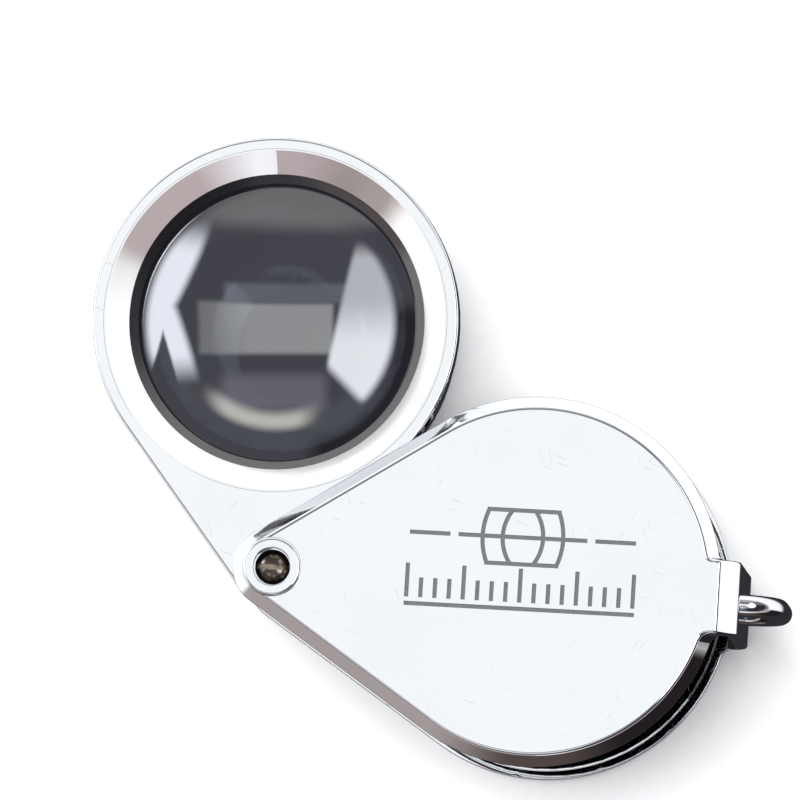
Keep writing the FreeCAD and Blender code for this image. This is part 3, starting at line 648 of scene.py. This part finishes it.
def make_cup():
    """Flanged cup in the upper plate's hole."""
    inner, top = HEIGHT - SHEET, HEIGHT + FLANGE_HEIGHT
    profile = [(CUP_OUTSIDE, inner, "wall"), (CUP_OUTSIDE, HEIGHT, "under"), (FLANGE_RADIUS, HEIGHT, "top")]
    profile += quarter((FLANGE_RADIUS - FLANGE_ROUND, top - FLANGE_ROUND), FLANGE_ROUND, 0, "top")
    profile += quarter((CUP_INSIDE + MOUTH_ROUND, top - MOUTH_ROUND), MOUTH_ROUND, math.pi / 2, "top")
    profile += [(CUP_INSIDE, inner + CUP_FLOOR, "floor"), (CUP_BORE, inner + CUP_FLOOR, "bore"),
                (CUP_BORE, inner, "foot")]
    cup = Surface()
    lathe(cup, profile)
    piece = cup.piece("flanged_cup")
    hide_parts("pivot_cup")
    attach(piece, "cover")
    return piece


def make_screw():
    """Domed head in two halves beside the driver slot, on a plain shank."""
    screw = Surface()
    rise = HEAD_TOP - HEAD_RIM
    bulge = (HEAD_RADIUS ** 2 + rise ** 2) / (2 * rise)

    def crown(x, y):
        return HEAD_TOP - bulge + math.sqrt(bulge ** 2 - x * x - y * y)

    def at(places, height=None):
        return [(x - REACH, y, height if height else crown(x, y)) for x, y in places]

    rims, slot_rows = [], []
    first = math.asin(SLOT_HALF / HEAD_RADIUS)
    for side in (1, -1):
        rows = []
        for step in range(CROWN_ROWS + 1):
            turn = first + (math.pi / 2 - first) * step / CROWN_ROWS
            y, reach = HEAD_RADIUS * math.sin(turn), HEAD_RADIUS * math.cos(turn)
            rows.append([(side * reach * (1 - 2 * n / CROWN_COLUMNS), side * y)
                         for n in range(CROWN_COLUMNS + 1)])
        for low, high in zip(rows, rows[1:]):
            screw.strip(at(low), at(high), "crown")
        rims.append([row[0] for row in rows] + [row[-1] for row in rows[-2::-1]])
        slot_rows.append(rows[0])
        screw.strip(at(rows[0]), at(rows[0], SLOT_FLOOR), "slot")
    screw.strip(at(slot_rows[0], SLOT_FLOOR), at(slot_rows[1][::-1], SLOT_FLOOR), "slot floor")
    outline = rims[0] + rims[1]
    screw.strip(at(outline, HEAD_RIM), at(outline, HEAD_FOOT), "rim", closed=True)
    shank = sweep((0, 0), SHANK_RADIUS, 0, 2 * math.pi, SHANK_STEPS)[:-1]
    for triangle in fill(outline, [shank])[0]:
        screw.face(at(triangle, HEAD_FOOT), "foot")
    screw.strip(at(shank, HEAD_FOOT), at(shank, SHANK_END), "shank", closed=True)
    screw.face(at(shank, SHANK_END), "end")
    piece = screw.piece("slotted_screw")
    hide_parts("pivot_screw")
    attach(piece, "cover")
    return piece


# ---------------------------------------------------------------- materials

chrome = polished_metal("mirror_chrome", (0.94, 0.955, 0.97), (0.92, 0.94, 0.96), 0.03, 0.8)
MATERIALS = {
    "cover_shell": chrome,
    "lens_frame": chrome,
    "pivot_cup": chrome,
    "front_bezel": polished_metal("bezel_chrome", (0.95, 0.95, 0.95), (0.91, 0.91, 0.92), 0.07, 0.2),
    "rear_bezel": "front_bezel",
    "bail": polished_metal("wire_chrome", (0.9, 0.91, 0.93), (0.82, 0.84, 0.87), 0.05, 0.6),
    "pivot_post": polished_metal("turned_steel", (0.6, 0.6, 0.61), (0.5, 0.5, 0.52), 0.2, 0.6),
    "thrust_washer": "pivot_post",
    "spring_washer": polished_metal("spring_steel", (0.5, 0.51, 0.54), (0.4, 0.4, 0.43), 0.25, 0.6),
    "pivot_screw": screw_steel(),
    "pivot_bush": polished_metal("bearing_brass", (0.78, 0.58, 0.28), (0.66, 0.46, 0.2), 0.2, 0.4),
    "lens_cell": anodised_black("anodised_black"),
    "retaining_ring": "lens_cell",
    "front_lens": glass("front_glass", (0.40, 0.41, 0.46), 1),
    "rear_lens": glass("rear_glass", (0.62, 0.64, 0.70), -1, 0.12),
    "centre_lens": glass("centre_glass", (0.7, 0.72, 0.78), None, 0.0),
}

for node, material in MATERIALS.items():
    if isinstance(material, str):
        material = MATERIALS[material]
    for slot in NODES[node].material_slots:
        slot.material = material


def mark_filling():
    """Dark deposit in the engraved lines."""
    material, nodes, shader, place = new_material("mark_filling")
    grain = nodes.noise(place, 6000, 3.0)
    nodes.put(shader, {
        "Base Color": nodes.mix(grain, (0.05, 0.052, 0.056, 1), (0.17, 0.175, 0.185, 1)),
        "Roughness": nodes.ramp(grain, 0.3, 0.7, 0.45, 0.7),
    })
    bump(nodes, shader, grain, 6e-6)
    return material


cover, filling = make_cover()
cover.data.materials.append(chrome)
filling.data.materials.append(mark_filling())
make_cup().data.materials.append(chrome)
make_screw().data.materials.append(MATERIALS["pivot_screw"])


# ---------------------------------------------------------------- floor, light and camera

FLOOR_HALF = 4.0
KEY_SIZE = 1.6
KEY_POWER = 26.0
KEY_HEIGHT = 1.1
KEY_SHIFT = 0.3              # to the left and up in the picture


def make_floor():
    """Plain pale paper; the metal and the glass mirror the studio instead."""
    size = FLOOR_HALF
    mesh = bpy.data.meshes.new("floor")
    corners = [(-size, -size, 0), (size, -size, 0), (size, size, 0), (-size, size, 0)]
    mesh.from_pydata(corners, [], [(0, 1, 2, 3)])
    floor = bpy.data.objects.new("floor", mesh)
    bpy.context.scene.collection.objects.link(floor)
    material, nodes, shader, place = new_material("pale_paper")
    grain = nodes.noise(place, 900, 4.0)
    nodes.put(shader, {
        "Base Color": nodes.mix(grain, (0.90, 0.90, 0.90, 1), (0.94, 0.94, 0.94, 1)),
        "Roughness": 0.9,
        "Specular IOR Level": 0.0,
    })
    mesh.materials.append(material)
    floor.visible_glossy = False
    floor.visible_transmission = False


# The way the camera looks, from how the object's own axes lie in its picture.
ROLL = math.radians(3.25)             # the cover points this far below the picture's right
UP_IN_VIEW = Vector((-0.0803, 0.0940, 0))   # the plates' normal, seen in the picture
PICTURE_WIDTH = 56.42 * MM            # of the plane of the plates
PIVOT_TO_MIDDLE = Vector((9.03, 11.75)) * MM
CAMERA_DISTANCE = 1.2
SENSOR_WIDTH = 36


def camera_axes():
    """Right, up and back of the camera, in the row frame."""
    normal = UP_IN_VIEW.copy()
    normal.z = math.sqrt(1 - normal.length_squared)
    tilt = Vector((0, 0, 1)).rotation_difference(normal).to_matrix()
    look = tilt @ Matrix.Rotation(-ROLL, 3, "Z")
    return look.row[0].copy(), look.row[1].copy(), look.row[2].copy()


RIGHT, UP, BACK = camera_axes()


def make_camera():
    data = bpy.data.cameras.new("camera")
    camera = bpy.data.objects.new("camera", data)
    bpy.context.scene.collection.objects.link(camera)
    data.sensor_width = SENSOR_WIDTH
    data.lens = SENSOR_WIDTH * CAMERA_DISTANCE / PICTURE_WIDTH
    data.clip_start = 0.05
    data.clip_end = 20
    target = Vector((PIVOT.x, PIVOT.y, TOP))
    target += RIGHT * PIVOT_TO_MIDDLE.x + UP * PIVOT_TO_MIDDLE.y
    turn = Matrix((RIGHT, UP, BACK)).transposed().to_4x4()
    camera.matrix_world = Matrix.Translation(target + BACK * CAMERA_DISTANCE) @ turn
    bpy.context.scene.camera = camera


# Studio. A direction is measured as the camera sees it: across to the right, along up the picture and
# height towards the camera. A pair is where a change begins and ends.
WALL = (1.1, 1.1, 1.1, 1)
WALL_TOP = (0.34, 0.52)
ROOM = (0.17, 0.172, 0.20, 1)
FAR_WALL = (0.50, 0.50, 0.50, 1)
FAR_EDGE = (0.62, 0.72)
FAR_FOOT = (0.46, 0.56)

CLOTHES_ABOVE = (0.50, 0.42, 0.43, 1)
CLOTHES_LEFT = (0.40, 0.35, 0.34, 1)
CLOTHES_MIDDLE = (0.085, 0.065, 0.06, 1)
CLOTHES_RIGHT = (0.018, 0.014, 0.016, 1)
CLOTHES_EDGE = (-0.38, -0.22)        # along
CLOTHES_TOP = (0.46, 0.56)           # height
CLOTHES_WAIST = (0.24, 0.33)         # height, from the dark lower part to the upper part
LEFT_TO_MIDDLE = (-0.75, -0.2)       # across
MIDDLE_TO_RIGHT = (0.0, 0.5)
LEAN = 0.24                          # how much further down the picture the left lower part begins
LEAN_TOP = (0.20, 0.30)
LEAN_SIDE = (-0.4, 0.0)
GAP_LIGHT = (0.95, 0.95, 1.0, 1)     # the wall, seen beside the photographer
GAP_LEFT = (-0.10, -0.08)
GAP_RIGHT = (0.02, 0.40)
GAP_FOOT = (0.26, 0.32)

DARK_ROOM_AND_PAINTED_SHADE = (0.03, 0.03, 0.035, 1)        # the doorway's dark room, and painted shade for everything below the object, standing in for the floor under it in shadow
DOOR_SIDE = (-0.05, 0.12)
DOOR_HEIGHTS = (0.58, 0.88)
DOOR_EDGE = (0.20, 0.32)
PAINTED_SHADE_BELOW = (-0.62, -0.30)

# left, right, low and high edge, softness of the edges, and light
MAIN_PANEL = (-0.575, 0.16, 0.0, 0.285, 0.02)
MAIN_LIGHT = (0.965, 0.985, 1.0, 1)
MAIN_FADE = (-0.56, -0.28)           # across, over which its left end gains its full light
MAIN_FAINT = 0.5
HIGH_PANEL = (-0.44, 0.245, 0.285, 0.39, 0.02)
HIGH_LIGHT = (0.38, 0.39, 0.45, 1)
LOW_PANEL = (-0.46, 0.12, -0.32, -0.12, 0.05)
LOW_LIGHT = (0.43, 0.42, 0.51, 1)

LEFT_BOX_LIGHT = (2.9, 3.0, 3.25, 1)
LEFT_BOX_CORNER = (-0.683, 0.253)    # across and along of its blunt right corner
LEFT_BOX_SLOPES = (0.5, -0.264)
LEFT_BOX_REACH = (0.69, 0.74)
LEFT_BOX_ENDS = (-0.08, 0.60)
STAND_TOP = (-0.74, 0.12)            # the stand in front of its lower half
STAND_SPREAD = 0.24
RIGHT_BOX_LOW_LIGHT = (2.8, 2.85, 3.0, 1)
RIGHT_BOX_HIGH_LIGHT = (1.6, 1.65, 1.75, 1)
RIGHT_BOX_FADE = (0.02, 0.34)
RIGHT_BOX_EDGE = (0.145, 0.22)       # across, and its slope
RIGHT_BOX_FOOT = (0.06, -0.97)
RIGHT_BOX_REACH = (0.76, 0.80)
RIGHT_BOX_ENDS = (-0.30, 0.56)
LOW_BOX_LIGHT = (1.7, 1.7, 1.55, 1)
LOW_BOX_REACH = (0.815, 0.862)
LOW_BOX_SIDES = (-0.50, 0.02)
LOW_BOX_EDGE = (-0.26, -0.12)


def make_world():
    """A studio of soft boxes over the object and white walls, dark where the photographer stands."""
    world = bpy.data.worlds.new("studio")
    bpy.context.scene.world = world
    world.use_nodes = True
    nodes = Nodes(world.node_tree)
    ray = nodes.add("ShaderNodeTexCoord").outputs["Generated"]
    across, along, height = (nodes.dot(ray, axis) for axis in (RIGHT, UP, BACK))
    # how near a direction is to the one that the flat faces mirror
    mirrored = nodes.dot(ray, 2 * BACK.z * Vector((0, 0, 1)) - BACK)
    overhead = nodes.math("GREATER_THAN", height, 0.0)

    def rise(value, change):
        return nodes.ramp(value, *change)

    def drop(value, change):
        return nodes.ramp(value, *change, 1.0, 0.0)

    def band(value, low, high, soft):
        return both(nodes.ramp(value, low - soft, low + soft),
                    nodes.ramp(value, high - soft, high + soft, 1.0, 0.0))

    def both(*masks):
        total = masks[0]
        for mask in masks[1:]:
            total = nodes.math("MULTIPLY", total, mask)
        return total

    def line(start, slope, turn=0.0):
        """across at which a slanted edge lies, for a direction's place along the picture."""
        return nodes.math("ADD", start, both(slope, nodes.math("SUBTRACT", along, turn)))

    def beyond(edge, soft, side=1.0):
        """1 on the right of a slanted edge, or on its left with side -1."""
        return nodes.ramp(both(nodes.math("SUBTRACT", across, edge), side), -soft, soft)

    def panel(left, right, low, high, soft):
        return both(band(across, left, right, soft), band(along, low, high, soft), overhead)

    # walls at the horizon, dim room above them
    colour = nodes.mix(drop(height, WALL_TOP), ROOM, WALL)
    colour = nodes.mix(both(rise(along, FAR_EDGE), rise(height, FAR_FOOT)), colour, FAR_WALL)

    # the photographer's side: brown above and nearly black below, with a gap that lets the wall through
    lean = both(nodes.ramp(height, *LEAN_TOP, LEAN, 0.0), drop(across, LEAN_SIDE))
    near = both(drop(nodes.math("ADD", along, lean), CLOTHES_EDGE), drop(height, CLOTHES_TOP))
    shade = nodes.mix(rise(across, LEFT_TO_MIDDLE), CLOTHES_LEFT, CLOTHES_MIDDLE)
    shade = nodes.mix(rise(across, MIDDLE_TO_RIGHT), shade, CLOTHES_RIGHT)
    clothes = nodes.mix(rise(height, CLOTHES_WAIST), shade, CLOTHES_ABOVE)
    gap = both(rise(across, GAP_LEFT), nodes.ramp(across, *GAP_RIGHT, 1.0, 0.0, False),
               rise(height, GAP_FOOT))
    colour = nodes.mix(near, colour, nodes.mix(gap, clothes, GAP_LIGHT))

    # an open doorway into a dark room
    doorway = both(rise(across, DOOR_SIDE), band(height, *DOOR_HEIGHTS, 0.03), drop(along, DOOR_EDGE))
    colour = nodes.mix(doorway, colour, DARK_ROOM_AND_PAINTED_SHADE)

    # soft boxes
    corner_across, corner_along = LEFT_BOX_CORNER
    corner = nodes.math("MAXIMUM", *(line(corner_across, slope, corner_along) for slope in LEFT_BOX_SLOPES))
    stand_across, stand_along = STAND_TOP
    beside = nodes.math("ABSOLUTE", nodes.math("SUBTRACT", across, stand_across))
    half = both(nodes.math("SUBTRACT", stand_along, along), STAND_SPREAD)
    clear_of_stand = nodes.ramp(nodes.math("SUBTRACT", beside, half), -0.008, 0.008)
    left_box = both(beyond(corner, 0.025, -1.0), rise(mirrored, LEFT_BOX_REACH),
                    band(along, *LEFT_BOX_ENDS, 0.10), clear_of_stand)
    right_box = both(beyond(line(*RIGHT_BOX_EDGE), 0.02), rise(mirrored, RIGHT_BOX_REACH),
                     band(along, *RIGHT_BOX_ENDS, 0.06), beyond(line(*RIGHT_BOX_FOOT), 0.05))
    right_light = nodes.mix(rise(along, RIGHT_BOX_FADE), RIGHT_BOX_LOW_LIGHT, RIGHT_BOX_HIGH_LIGHT)
    low_box = both(band(mirrored, *LOW_BOX_REACH, 0.02), band(across, *LOW_BOX_SIDES, 0.09),
                   drop(along, LOW_BOX_EDGE))
    main = both(panel(*MAIN_PANEL), nodes.ramp(across, *MAIN_FADE, MAIN_FAINT, 1.0))
    for mask, light in (
        (main, MAIN_LIGHT),
        (panel(*HIGH_PANEL), HIGH_LIGHT),
        (panel(*LOW_PANEL), LOW_LIGHT),
        (right_box, right_light),
        (left_box, LEFT_BOX_LIGHT),
        (low_box, LOW_BOX_LIGHT),
        # painted shade: all directions below the object are dark, in place of the shaded floor, which
        # mirrored and refracted rays don't see
        (drop(nodes.dot(ray, (0, 0, 1)), PAINTED_SHADE_BELOW), DARK_ROOM_AND_PAINTED_SHADE),
    ):
        colour = nodes.mix(mask, colour, light)
    background = nodes.add("ShaderNodeBackground")
    output = nodes.add("ShaderNodeOutputWorld")
    nodes.put(background, {"Color": colour, "Strength": 1.0})
    nodes.link(background.outputs[0], output.inputs[0])


def make_lights():
    """Soft light for the floor only; what the metal mirrors is the studio around it."""
    data = bpy.data.lights.new("key", "AREA")
    data.shape = "DISK"
    data.size = KEY_SIZE
    data.energy = KEY_POWER
    key = bpy.data.objects.new("key", data)
    bpy.context.scene.collection.objects.link(key)
    key.location = RIGHT * -KEY_SHIFT + UP * KEY_SHIFT + Vector((0, 0, KEY_HEIGHT))
    key.rotation_mode = "QUATERNION"
    key.rotation_quaternion = key.location.to_track_quat("Z", "Y")
    key.visible_camera = False
    key.visible_glossy = False
    key.visible_transmission = False


make_floor()
make_camera()
make_world()
make_lights()
bpy.context.scene.view_settings.view_transform = "Standard"
